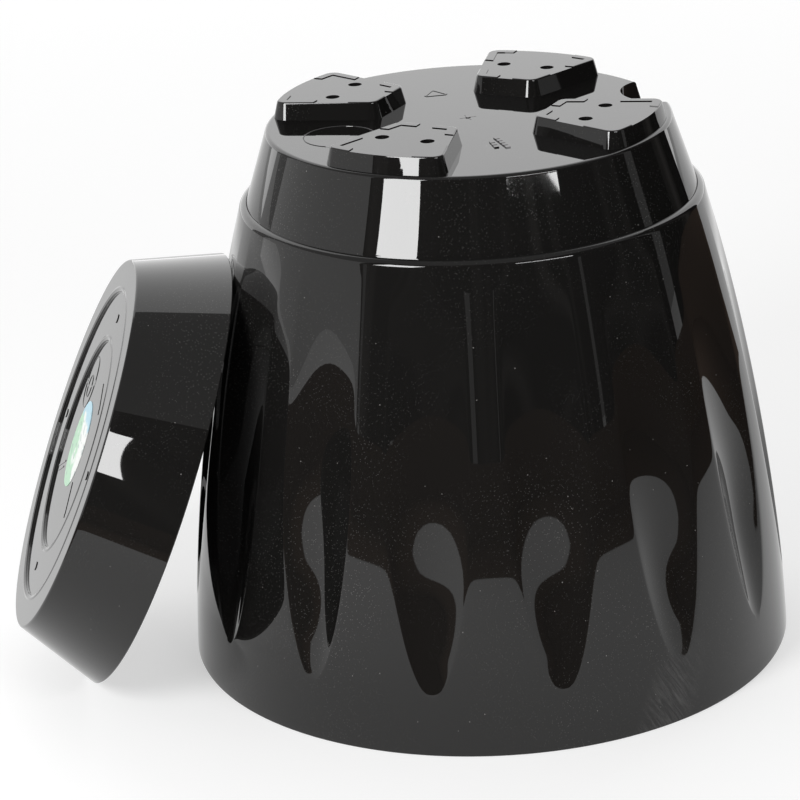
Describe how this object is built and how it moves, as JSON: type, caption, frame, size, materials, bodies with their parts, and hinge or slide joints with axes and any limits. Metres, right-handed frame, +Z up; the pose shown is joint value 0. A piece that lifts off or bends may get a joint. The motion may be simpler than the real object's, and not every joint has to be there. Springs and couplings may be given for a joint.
{
  "type": "plant pot with saucer",
  "caption": "Fluted round plant pot standing upside down on its rim, its deep dish saucer leaning against it; scalloped wall, plain band, footed base with drain holes.",
  "frame": {"origin": "on the pot's axis, in the plane of its rim, which is the plane that the pot stands on", "axes": "+Z up along the pot's axis from the rim towards the feet; the saucer leans on the -X side"},
  "size_m": [0.519, 0.4, 0.3665],
  "materials": {
    "pot_plastic": "high gloss, moulded black polypropylene",
    "saucer_plastic": "high gloss, moulded black polypropylene",
    "label_paper": "printed self-adhesive paper label, satin"
  },
  "bodies": {
    "pot": {"planter_pot": "pot_plastic"},
    "dish": {"saucer": "saucer_plastic", "saucer_label": "label_paper"}
  },
  "joints": [
    {"name": "saucer_lift", "type": "slide", "parent": "pot", "child": "dish", "axis": [-0.9182, 0, 0.3961], "range_m": [0, 0.25]}
  ]
}
